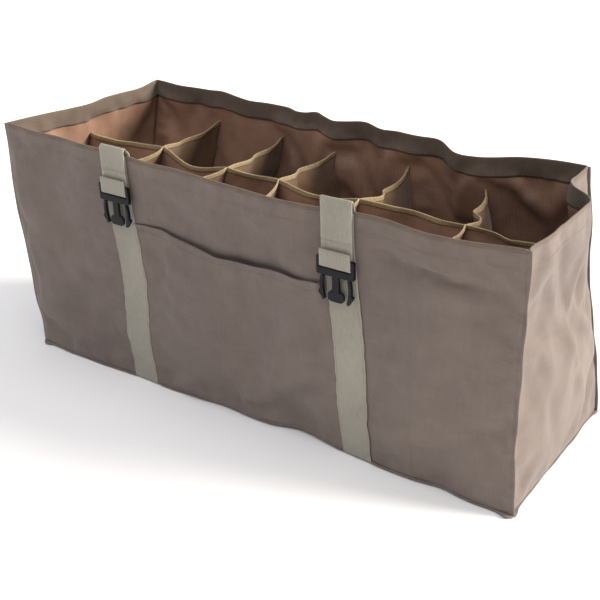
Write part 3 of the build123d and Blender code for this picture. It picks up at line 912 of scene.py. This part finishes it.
def pocket_out(x, z):
    """How far the pocket stands out from the front, in millimetres."""
    middle = np.clip(1 - (x / STRAP_IN) ** 2, 0, 1)
    mouth = smooth(z, 150, POCKET_TOP) ** 1.3
    gape = (9.5 + 1.5 * np.sin(x / 60.0)) * middle ** 0.8 * mouth
    pleat = 5.0 * bump(x, 158, 8) * smooth(z, 215, POCKET_TOP)
    dip = -2.5 * bump(x, 172, 6) * smooth(z, 215, POCKET_TOP)
    slack = 1.2 * middle * np.sin(z / 46.0) * np.sin(x / 70.0 + 1.0)
    return 1.1 + np.maximum(gape + pleat + dip + slack, 0.0) * middle ** 0.15


pocket_x = steps(-POCKET_HALF, POCKET_HALF, 5.0)
pocket_z = steps(POCKET_LOW - 1.5, POCKET_TOP, 6.0)
px, pz = np.meshgrid(pocket_x, pocket_z, indexing="ij")
pocket_height = pz + pocket_edge(px) * smooth(pz, 120, POCKET_TOP)
pocket_shape = np.stack([px, -HALF_Y - pocket_out(px, pz), pocket_height], -1)
pocket_cloth, pocket_flat = cloth_piece("pocket_cloth", pocket_shape, [SHELL, LINING], 0.9)
finish_piece(pocket_cloth, ["pocket_panel"])

# The binding wraps the mouth: down the front, over the edge, and down inside.
BINDING_HALF = 0.95
BINDING_REACH = [-11.5, -7.5, -3.5]
half_turn = np.linspace(0, np.pi, 7)
flat_side = np.full(len(BINDING_REACH), BINDING_HALF)
profile_out = np.concatenate([flat_side, BINDING_HALF * np.cos(half_turn), -flat_side])
profile_up = np.concatenate([BINDING_REACH, BINDING_HALF * np.sin(half_turn), BINDING_REACH[::-1]])
mouth_x = steps(-STRAP_IN - 3, STRAP_IN + 3, 4.0)
b_x, b_out = np.meshgrid(mouth_x, profile_out, indexing="ij")
b_up = np.repeat(profile_up[None], len(mouth_x), 0)
b_y = -HALF_Y - pocket_out(b_x, POCKET_TOP + b_up) + 0.45 - b_out
binding_shape = np.stack([b_x, b_y, POCKET_TOP + pocket_edge(b_x) + b_up], -1)
pocket_binding, binding_flat = cloth_piece(
    "pocket_binding_cloth", binding_shape, [SHELL], 0.5, 0.0, edge_width=3
)
finish_piece(pocket_binding, ["pocket_binding"])

# ---------------------------------------------------------------- dividers

# How far the dividers stray at the top: where they cross, along x and y, and sideways in the middle of each
# cross divider, for the front row (-1) and the back row (1).
JUNCTION_X = [14, 8, -30, -28, -6]
JUNCTION_Y = [4, -5, 6, -4, 3]
BOWS = {-1: [4.5, -9.9, 5.7, -5.9, 9.8], 1: [-9.5, 6.5, -5.1, 10.0, 12.0]}


SPAN_ENDS = [-INNER_X] + DIVIDERS + [INNER_X]


def at_junctions(x, moves):
    """Moves given where the cross dividers meet the centre one, with none at its two ends."""
    return curve(x, list(zip(SPAN_ENDS, [0] + moves + [0])))


def between_junctions(x, amounts, power):
    """One bulge in each span between two junctions, each by its own amount."""
    bulge = np.zeros_like(x)
    for start, end, amount in zip(SPAN_ENDS[:-1], SPAN_ENDS[1:], amounts):
        inside = np.clip((x - start) / (end - start), 0, 1)
        bulge = bulge + amount * np.sin(np.pi * inside) ** power
    return bulge


def centre_line_y(x):
    """The centre divider's wander, front to back, at its top edge."""
    return at_junctions(x, JUNCTION_Y) + between_junctions(x, [9, -8, 10, -7, 8, -6], 2)


def centre_sag(x):
    """How far the centre divider's top edge moves up (or down, below zero)."""
    lift = curve(x, [(-INNER_X, 2), (DIVIDERS[0], 6), (DIVIDERS[2], 3), (DIVIDERS[3], 8), (INNER_X, 0)])
    return lift - between_junctions(x, [10, 13, 9, 12, 10, 7], 1.5)


def divider_share(z):
    """Dividers are held at the bottom and free to wander at the top."""
    return smooth(z, 20, DIVIDER_TOP)


def centre_place(points):
    """Points of the straight centre divider, moved to its slack shape."""
    x, y, z = points[..., 0], points[..., 1], points[..., 2]
    share = divider_share(z)
    slack = 2.5 * np.sin(x / 33.0 + z / 60.0) * share * (1 - share)
    y = y + centre_line_y(x) * share + slack
    z = z + centre_sag(x) * share
    return np.stack([x + at_junctions(x, JUNCTION_X) * share, y, z], -1)


def cross_place(points, k, row):
    """Points of cross divider k in the front (-1) or back (1) row, moved to its slack shape."""
    x, y, z = points[..., 0], points[..., 1], points[..., 2]
    share = divider_share(z)
    place = np.full_like(x, DIVIDERS[k])
    near = 1 - np.clip(np.abs(y) / INNER_Y, 0, 1)
    span = np.sin(np.pi * (1 - near))
    x = x + (JUNCTION_X[k] * near + BOWS[row][k] * span) * share
    join_y = centre_line_y(place)
    y = y + join_y * near * share
    sag = -(11.0 + 4.0 * math.sin(1.9 * k + 2.0 * row)) * span + centre_sag(place) * near
    z = z + sag * share + (2.0 - 5.0 * (row < 0)) * (1 - near) * share
    return np.stack([x, y, z], -1)


def divider_sheet(node_name, points, materials):
    """The cloth of a divider whose points have their slack shape. Returns it and its flat size."""
    made, flat = cloth_piece(f"{node_name}_cloth", points, materials, CLOTH, 0.0)
    finish_piece(made, [node_name])
    return made, flat


def tape_grid(along, swap):
    """Grid of a tape folded over a divider's top edge."""
    half = TAPE_HALF - 0.25
    turn = np.linspace(0, np.pi, 7)
    rise = TAPE_LOW + 3.0 + 2.2 * np.arange(3)
    over = DIVIDER_TOP - half + 0.8 + half * np.sin(turn)
    side = np.concatenate([np.full(3, half), half * np.cos(turn), np.full(3, -half)])
    up = np.concatenate([rise, over, rise[::-1]])
    a = np.repeat(along[:, None], len(side), 1)
    s = np.repeat(side[None], len(along), 0)
    z = np.repeat(up[None], len(along), 0)
    return np.stack([s, a, z] if swap else [a, s, z], -1)


def tape_piece(name, points):
    """A tape whose points have their slack shape. Returns it and its flat size."""
    return cloth_piece(name, points, [TAPE], 0.6, 0.0, edge_width=3)


divider_z = steps(FLOOR, DIVIDER_TOP - 0.5, 9.0)
centre_x = steps(-INNER_X, INNER_X, 8.0)
centre_points = centre_place(wall(centre_x, 0.0, divider_z, False))
center_divider, center_flat = divider_sheet("center_divider", centre_points, [LINING, DIVIDER])
center_tape, center_tape_flat = tape_piece("center_tape", centre_place(tape_grid(centre_x, False)))
finish_piece(center_tape, ["center_divider_tape"])

for row, row_name in ((-1, "front"), (1, "back")):
    span_y = steps(*sorted((row * CLOTH / 2, row * INNER_Y)), 7.0)
    tapes = []
    for k, place_x in enumerate(DIVIDERS):
        points = cross_place(wall(span_y, place_x, divider_z, True), k, row)
        divider_sheet(f"{row_name}_divider_{k + 1}", points, [DIVIDER, LINING])
        grid = tape_grid(span_y, True)
        grid[..., 0] += place_x
        part, part_flat = tape_piece(f"{row_name}_tape_{k}", cross_place(grid, k, row))
        tapes.append(part)
    row_tapes = joined(f"{row_name}_divider_tape_strips", tapes)
    finish_piece(row_tapes, [f"{row_name}_divider_tapes"])

# ---------------------------------------------------------------- webbing


def webbing_piece(name, path, middle_x, shift=None, hang=True):
    """Webbing along an (outward y, z) path; shift(y, z) moves its middle sideways."""
    path = np.array(path, float)
    run = run_along(path)
    at = np.unique(np.concatenate([steps(0, run[-1], 5.0), run]))
    y, z = resampled(at, run, path).T
    heading = np.stack([np.gradient(y, at), np.gradient(z, at)], -1)
    heading = heading / np.linalg.norm(heading, axis=1, keepdims=True)
    out = np.stack([np.zeros_like(y), -heading[:, 1], heading[:, 0]], -1)
    x = middle_x + (shift(y, z) if shift else np.zeros_like(y))
    outline = rounded(WEBBING_WIDTH, WEBBING)
    return swept(name, np.stack([x, y, z], -1), (1, 0, 0), out, outline, [STRAP], hang=hang)


def strap_shift(side):
    """Sideways wander of a body strap: from the photo on the front, straight on the back."""
    knots = [(0, -3), (68, -6), (121, 0), (201, 6), (255, 3), (330, -3), (404, -8)]
    if side > 0:
        knots = [(0, 3), (48, 0), (96, 1), (217, -2), (280, -8), (330, -14), (404, -18)]

    def shift(y, z):
        y, z = np.broadcast_arrays(y, z)
        middle = np.full(z.shape, side * STRAP_X)
        guess = middle.copy()
        for _ in range(4):
            guess = guess - (draped(np.stack([guess, y, z], -1))[..., 0] - middle)
        return np.where(y < 0, curve(z, knots), guess - middle)

    return shift


def arc(middle_y, middle_z, radius, start, end, count=8):
    """(y, z) points round part of a circle, between two angles in degrees."""
    angle = np.radians(np.linspace(start, end, count))
    return [(middle_y + radius * math.cos(a), middle_z + radius * math.sin(a)) for a in angle]


# Over the pocket a strap stands out by the pocket's cloth; it turns under the bottom and up the back.
OVER_POCKET = 1.1
STRAP_TURN = 5.0
STRAP_FOOT = 5.9
step_low = POCKET_TOP + 1
step_high = POCKET_TOP + 9
face = HALF_Y + WEBBING / 2
for side, side_name in ((-1, "left"), (1, "right")):
    path = [(-face, STRAP_TOP), (-face, step_high)]
    path += [(-face - OVER_POCKET, step_low), (-face - OVER_POCKET, 7.0)]
    path += arc(-face - OVER_POCKET + STRAP_TURN, STRAP_FOOT, STRAP_TURN, 180, 270)
    path += arc(face - STRAP_TURN, STRAP_FOOT, STRAP_TURN, 270, 360)
    path += [(face, 12.0), (face, STRAP_TOP)]
    strap, run = webbing_piece(f"{side_name}_strap_webbing", path, side * STRAP_X, strap_shift(side))
    finish_piece(strap, [f"{side_name}_body_strap"])

# Tails: one piece bends at the rim, the next bends above the buckle.
TAIL_Y = -node_box("left_front_tail")[0][1] - WEBBING / 2
OUTER_Y = -node_box("left_front_tail_loop")[0][1] - WEBBING / 2
# The two pieces meet CUT_ABOVE the fold over the buckle; the crest is CREST_RISE high.
CUT_ABOVE = 9.0
CREST_RISE = 8.0
for side, side_name in ((-1, "left"), (1, "right")):
    for facing, face_name in ((-1, "front"), (1, "back")):
        prefix = f"{side_name}_{face_name}"
        loop_low, loop_high = node_box(f"{prefix}_tail_loop")
        tail_low, tail_high = node_box(f"{prefix}_tail")
        tail_x = (tail_low[0] + tail_high[0]) / 2
        hinge_z = tail_low[2] - 1.2
        cut_z = hinge_z + CUT_ABOVE
        anchor_low, anchor_high = node_box(f"{prefix}_tail_anchor")
        if facing < 0:
            sewn_y = -anchor_high[1] + WEBBING / 2
        else:
            sewn_y = anchor_high[1] - WEBBING / 2
        crest_z = tail_high[2] - WEBBING / 2
        turn_z = crest_z - CREST_RISE
        middle = (sewn_y + TAIL_Y) / 2
        radius = (TAIL_Y - sewn_y) / 2
        crest = [
            (middle - radius * math.cos(a), turn_z + CREST_RISE * math.sin(a))
            for a in np.linspace(0, math.pi, 15)
        ]
        upper = [(sewn_y, anchor_low[2]), (sewn_y, turn_z - 5)] + crest
        upper += [(TAIL_Y, turn_z - 6), (TAIL_Y, cut_z)]
        upper = [(facing * y, z) for y, z in upper]
        lean = (9.0 if side < 0 else 2.0) * (facing < 0)

        def skew(y, z, sewn_y=sewn_y, lean=lean):
            """Sideways lean of a front tail's sewn end, gone where the tail hangs free."""
            return lean * (1 - smooth(np.abs(y), sewn_y, TAIL_Y))

        # The sewn end hangs with the drape; from the crest on, the tail keeps its place over its buckle.
        piece, run = webbing_piece(f"{prefix}_tail_webbing", upper, tail_x, skew, hang=False)
        points = np.array([v.co for v in piece.data.vertices]) / MM
        inside = 1 - smooth(np.abs(points[:, 1]), sewn_y + 1.0, TAIL_Y - 1.0)
        hung = draped(points) if facing < 0 else draped_upright(points)
        moved = points + (hung - points) * inside[:, None]
        if facing > 0:
            run += np.linalg.norm((hung - points)[inside > 0.9].mean(0)) * MM
        piece.data.vertices.foreach_set("co", (moved * MM).astype(np.float32).ravel())
        finish_piece(piece, [f"{prefix}_tail_anchor", f"{prefix}_tail"], None)
        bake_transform(piece)

        bar_y = (TAIL_Y + OUTER_Y) / 2
        bend = (OUTER_Y - TAIL_Y) / 2
        bar_z = loop_low[2] + WEBBING / 2 + bend
        lower = [(TAIL_Y, cut_z), (TAIL_Y, bar_z + 8)] + arc(bar_y, bar_z, bend, -180, 0, 11)
        lower += [(OUTER_Y, bar_z + 8), (OUTER_Y, loop_high[2] - 3.4)]
        lower = [(facing * y, z) for y, z in lower]
        piece, run = webbing_piece(f"{prefix}_loop_webbing", lower, tail_x, hang=False)
        finish_piece(piece, [f"{prefix}_tail_loop"], None)
        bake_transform(piece)

# The buckle halves stay the CAD's own solids, in moulded plastic.
for name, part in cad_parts.items():
    if "buckle" in name or "prong" in name:
        for place in part.material_slots:
            place.material = PLASTIC

# ---------------------------------------------------------------- thread

ROW_END = 6.0
ROW_STEP = 6.0


def seam_line(along, across, z, swap=False):
    """A line of points along x at one y, or along y at one x where swap is set; z may be one height."""
    a, b, z = np.broadcast_arrays(along, across, z)
    return np.stack([b, a, z] if swap else [a, b, z], -1)


line_y = steps(-INNER_Y + ROW_END, INNER_Y - ROW_END, ROW_STEP)
hem_line_z = HEM_LOW + 3.0
rows = []
for direction in (-1, 1):
    for facing, spot_x, spot_y in (
        (direction, direction * (HALF_X + 0.05), direction * (HALF_Y + 0.05)),
        (-direction, direction * (HEM_X - 0.1), direction * (HEM_Y - 0.1)),
    ):
        for low, high in (
            (-INNER_X + ROW_END, -STRAP_OUT - 1), (-STRAP_IN + 1, STRAP_IN - 1),
            (STRAP_OUT + 1, INNER_X - ROW_END),
        ):
            rows.append((seam_line(steps(low, high, ROW_STEP), spot_y, hem_line_z), (0, facing, 0)))
        rows.append((seam_line(line_y, spot_x, hem_line_z, True), (facing, 0, 0)))
hem_thread = stitch_rows("hem_stitches", rows)

rows = []
for place_x in DIVIDERS:
    for direction in (-1, 1):
        up = steps(FLOOR + 12, DIVIDER_TOP, ROW_STEP)
        if direction < 0 and abs(place_x) < POCKET_HALF:
            up = up[up > POCKET_TOP + 16]
        rows.append((seam_line(place_x, direction * (HALF_Y + 0.05), up), (0, direction, 0)))
divider_thread = stitch_rows("divider_seam_stitches", rows)

# A strap's front rows end where its tail hangs over it.
STITCH_INSET = 3.0
FRONT_ROW_TOP = 296
rows = []
for side in (-1, 1):
    shift = strap_shift(side)
    for edge in (-1, 1):
        edge_x = side * STRAP_X + edge * (WEBBING_WIDTH / 2 - STITCH_INSET)
        for direction in (-1, 1):
            up = steps(14, FRONT_ROW_TOP if direction < 0 else STRAP_TOP - 4, ROW_STEP)
            over_pocket = np.where((up < step_low) & (direction < 0), OVER_POCKET, 0.0)
            y = direction * (HALF_Y + WEBBING + 0.05 + over_pocket)
            rows.append((seam_line(edge_x + shift(y, up), y, up), (0, direction, 0)))
stitch_rows("strap_stitches", rows)

along = steps(-STRAP_IN + 2, STRAP_IN - 2, 5.0)
below_mouth = -9.5
y = -HALF_Y - pocket_out(along, POCKET_TOP + below_mouth) - 0.8
mouth_line = seam_line(along, y, POCKET_TOP + pocket_edge(along) + below_mouth)
pocket_thread = stitch_rows("pocket_stitches", [(mouth_line, (0, -1, 0))])

# ---------------------------------------------------------------- each shell sheet's flat size, read back and not used

for side_name in ("front", "back", "left_end", "right_end"):
    cloth, flat = shell[side_name]

# ---------------------------------------------------------------- floor, light and camera

floor_mesh = bpy.data.meshes.new("floor")
SIZE = 60.0
floor_corners = [(-SIZE, -SIZE, 0), (SIZE, -SIZE, 0), (SIZE, SIZE, 0), (-SIZE, SIZE, 0)]
floor_mesh.from_pydata(floor_corners, [], [(0, 1, 2, 3)])
floor = in_scene("floor", floor_mesh)
floor_nodes = Nodes("pale_floor")
floor_nodes.shade(Base_Color=(0.82, 0.82, 0.82, 1.0), Roughness=0.9, Specular_IOR_Level=0.1)
floor_mesh.materials.append(floor_nodes.material)

world = bpy.data.worlds.new("studio")
bpy.context.scene.world = world
world.use_nodes = True
sky = world.node_tree.nodes["Background"]
sky.inputs["Color"].default_value = (0.90, 0.91, 1.0, 1.0)
sky.inputs["Strength"].default_value = 0.30


def soft_sun(name, place, spread, strength, tint):
    """Even light from the direction of place, softened by a wide disc."""
    light = bpy.data.lights.new(name, "SUN")
    light.angle = math.radians(spread)
    light.energy = strength
    light.color = tint
    lamp = in_scene(name, light)
    lamp.rotation_mode = "QUATERNION"
    lamp.rotation_quaternion = Vector(place).to_track_quat("Z", "Y")


soft_sun("key", (2.7, 1.35, 1.45), 24, 7.0, (1.0, 0.94, 0.85))
soft_sun("top", (0.25, -0.75, 3.0), 70, 2.3, (1.0, 0.98, 0.97))

# The camera found from the bag's corners in the photo: angles in degrees, place in metres.
CAMERA_AZIMUTH = 35.96
CAMERA_ELEVATION = 27.60
CAMERA_ROLL = -2.16
CAMERA_PLACE = (0.87733, -1.20451, 0.91985)
camera_data = bpy.data.cameras.new("camera")
camera_data.sensor_width = 36.0
camera_data.lens = 62.286
camera = in_scene("camera", camera_data)
bpy.context.scene.camera = camera
azimuth, elevation, roll = (math.radians(a) for a in (CAMERA_AZIMUTH, CAMERA_ELEVATION, CAMERA_ROLL))
level = math.cos(elevation)
back = Vector((math.sin(azimuth) * level, -math.cos(azimuth) * level, math.sin(elevation)))
right = Vector((0, 0, 1)).cross(back).normalized()
up = back.cross(right)
right_rolled = math.cos(roll) * right + math.sin(roll) * up
up_rolled = -math.sin(roll) * right + math.cos(roll) * up
turned = Matrix((right_rolled, up_rolled, back)).transposed().to_4x4()
turned.translation = Vector(CAMERA_PLACE)
camera.matrix_world = turned
camera_data.clip_start = 0.05
camera_data.clip_end = 60.0
